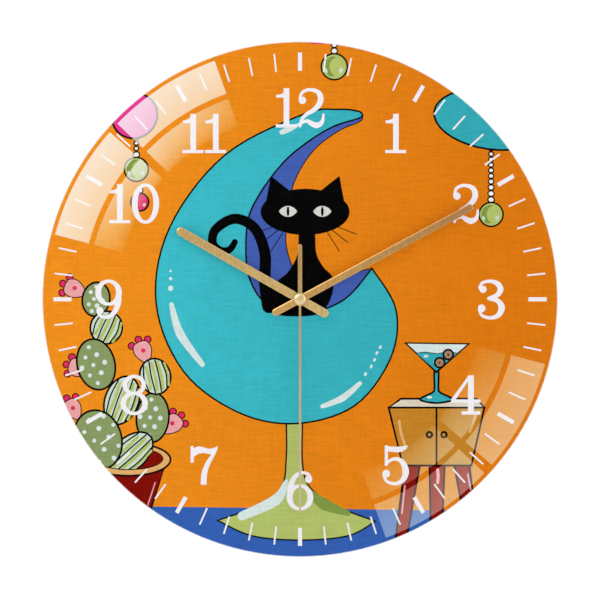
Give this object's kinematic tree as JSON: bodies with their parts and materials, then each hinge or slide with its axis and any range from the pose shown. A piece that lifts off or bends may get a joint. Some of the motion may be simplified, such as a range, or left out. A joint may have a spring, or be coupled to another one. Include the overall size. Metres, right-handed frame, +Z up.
{
  "type": "wall clock",
  "caption": "Frameless round wall clock with a clear front over a printed dial, three gold bar hands and a battery quartz movement behind.",
  "frame": {"origin": "on the hands' axis, at the plane of the wall that the movement's back cover rests on", "axes": "+Z up towards 12 o'clock, +X towards 3 o'clock, the dial faces -Y and the wall is behind at +Y"},
  "size_m": [0.3, 0.032, 0.3],
  "materials": {
    "clear_acrylic": "clear polished sheet",
    "printed_art": "printed picture sheet, fine canvas texture",
    "laminated_board": "white laminated fibreboard",
    "black_plastic": "fine spark-eroded texture",
    "white_nylon": "moulded",
    "black_rubber": "matt",
    "brass": "turned and polished",
    "plated_steel": "nickel plated",
    "magnet": "sintered",
    "copper_wire": "enamelled copper winding",
    "green_laminate": "solder resist over glass laminate",
    "battery_jacket": "printed film jacket, plain",
    "light_gold": "gold anodised, lengthwise brushed",
    "deep_gold": "gold anodised, lengthwise brushed",
    "pale_gold": "pale gold anodised"
  },
  "bodies": {
    "movement": {"front_lens": "clear_acrylic", "artwork_sheet": "printed_art", "dial_board": "laminated_board", "hanger_bracket": "plated_steel", "rubber_gasket": "black_rubber", "flat_washer": "plated_steel", "hex_nut": "brass", "movement_case": "black_plastic", "back_cover": "black_plastic", "middle_plate": "white_nylon", "stator": "plated_steel", "coil_core": "plated_steel", "coil_bobbin": "white_nylon", "coil_winding": "copper_wire", "circuit_board": "green_laminate", "control_chip": "black_plastic", "quartz_crystal": "plated_steel", "positive_contact": "plated_steel", "negative_contact": "plated_steel", "battery": "battery_jacket"},
    "seconds_work": {"second_wheel": "white_nylon", "second_arbor": "plated_steel", "second_hand": "pale_gold", "hand_cap": "pale_gold"},
    "intermediate": {"intermediate_wheel": "white_nylon"},
    "rotor": {"rotor_pinion": "white_nylon", "rotor_magnet": "magnet"},
    "third": {"third_wheel": "white_nylon"},
    "centre": {"centre_wheel": "brass", "clutch_spring": "plated_steel"},
    "minute_work": {"minute_pipe": "brass", "minute_hand": "deep_gold"},
    "reverse_carrier": {"reverse_washer": "plated_steel"},
    "reverse_work": {"reverse_wheel": "white_nylon", "setting_knob": "black_plastic"},
    "hour_carrier": {"hour_washer": "plated_steel"},
    "hour_work": {"hour_wheel": "brass", "hour_hand": "light_gold"}
  },
  "joints": [
    {"name": "seconds", "type": "hinge", "parent": "movement", "child": "seconds_work", "pos_m": [0, -0.004, 0], "axis": [0, 1, 0], "continuous": true},
    {"name": "intermediate_spin", "type": "hinge", "parent": "movement", "child": "intermediate", "pos_m": [0.00279, -0.004, 0.00767], "axis": [0, 1, 0], "continuous": true},
    {"name": "rotor_spin", "type": "hinge", "parent": "movement", "child": "rotor", "pos_m": [0.00643, -0.004, 0.01397], "axis": [0, 1, 0], "continuous": true},
    {"name": "third_spin", "type": "hinge", "parent": "movement", "child": "third", "pos_m": [-0.00866, -0.004, 0.005], "axis": [0, 1, 0], "continuous": true},
    {"name": "centre_spin", "type": "hinge", "parent": "movement", "child": "centre", "pos_m": [0, -0.004, 0], "axis": [0, 1, 0], "continuous": true},
    {"name": "hand_setting", "type": "hinge", "parent": "centre", "child": "minute_work", "pos_m": [0, -0.004, 0], "axis": [0, 1, 0], "continuous": true},
    {"name": "reverse_drive", "type": "hinge", "parent": "movement", "child": "reverse_carrier", "pos_m": [0.01, -0.004, 0], "axis": [0, 1, 0], "continuous": true},
    {"name": "reverse_setting", "type": "hinge", "parent": "reverse_carrier", "child": "reverse_work", "pos_m": [0.01, -0.004, 0], "axis": [0, 1, 0], "continuous": true},
    {"name": "hour_drive", "type": "hinge", "parent": "movement", "child": "hour_carrier", "pos_m": [0, -0.004, 0], "axis": [0, 1, 0], "continuous": true},
    {"name": "hour_setting", "type": "hinge", "parent": "hour_carrier", "child": "hour_work", "pos_m": [0, -0.004, 0], "axis": [0, 1, 0], "continuous": true}
  ],
  "couplings": [
    {"joint": "intermediate_spin", "follows": "seconds", "ratio": -5},
    {"joint": "rotor_spin", "follows": "seconds", "ratio": 30},
    {"joint": "third_spin", "follows": "seconds", "ratio": -0.125},
    {"joint": "centre_spin", "follows": "seconds", "ratio": 0.016667},
    {"joint": "reverse_drive", "follows": "seconds", "ratio": -0.0055556},
    {"joint": "hour_drive", "follows": "seconds", "ratio": 0.0013889},
    {"joint": "reverse_setting", "follows": "hand_setting", "ratio": -0.33333},
    {"joint": "hour_setting", "follows": "hand_setting", "ratio": 0.083333}
  ]
}
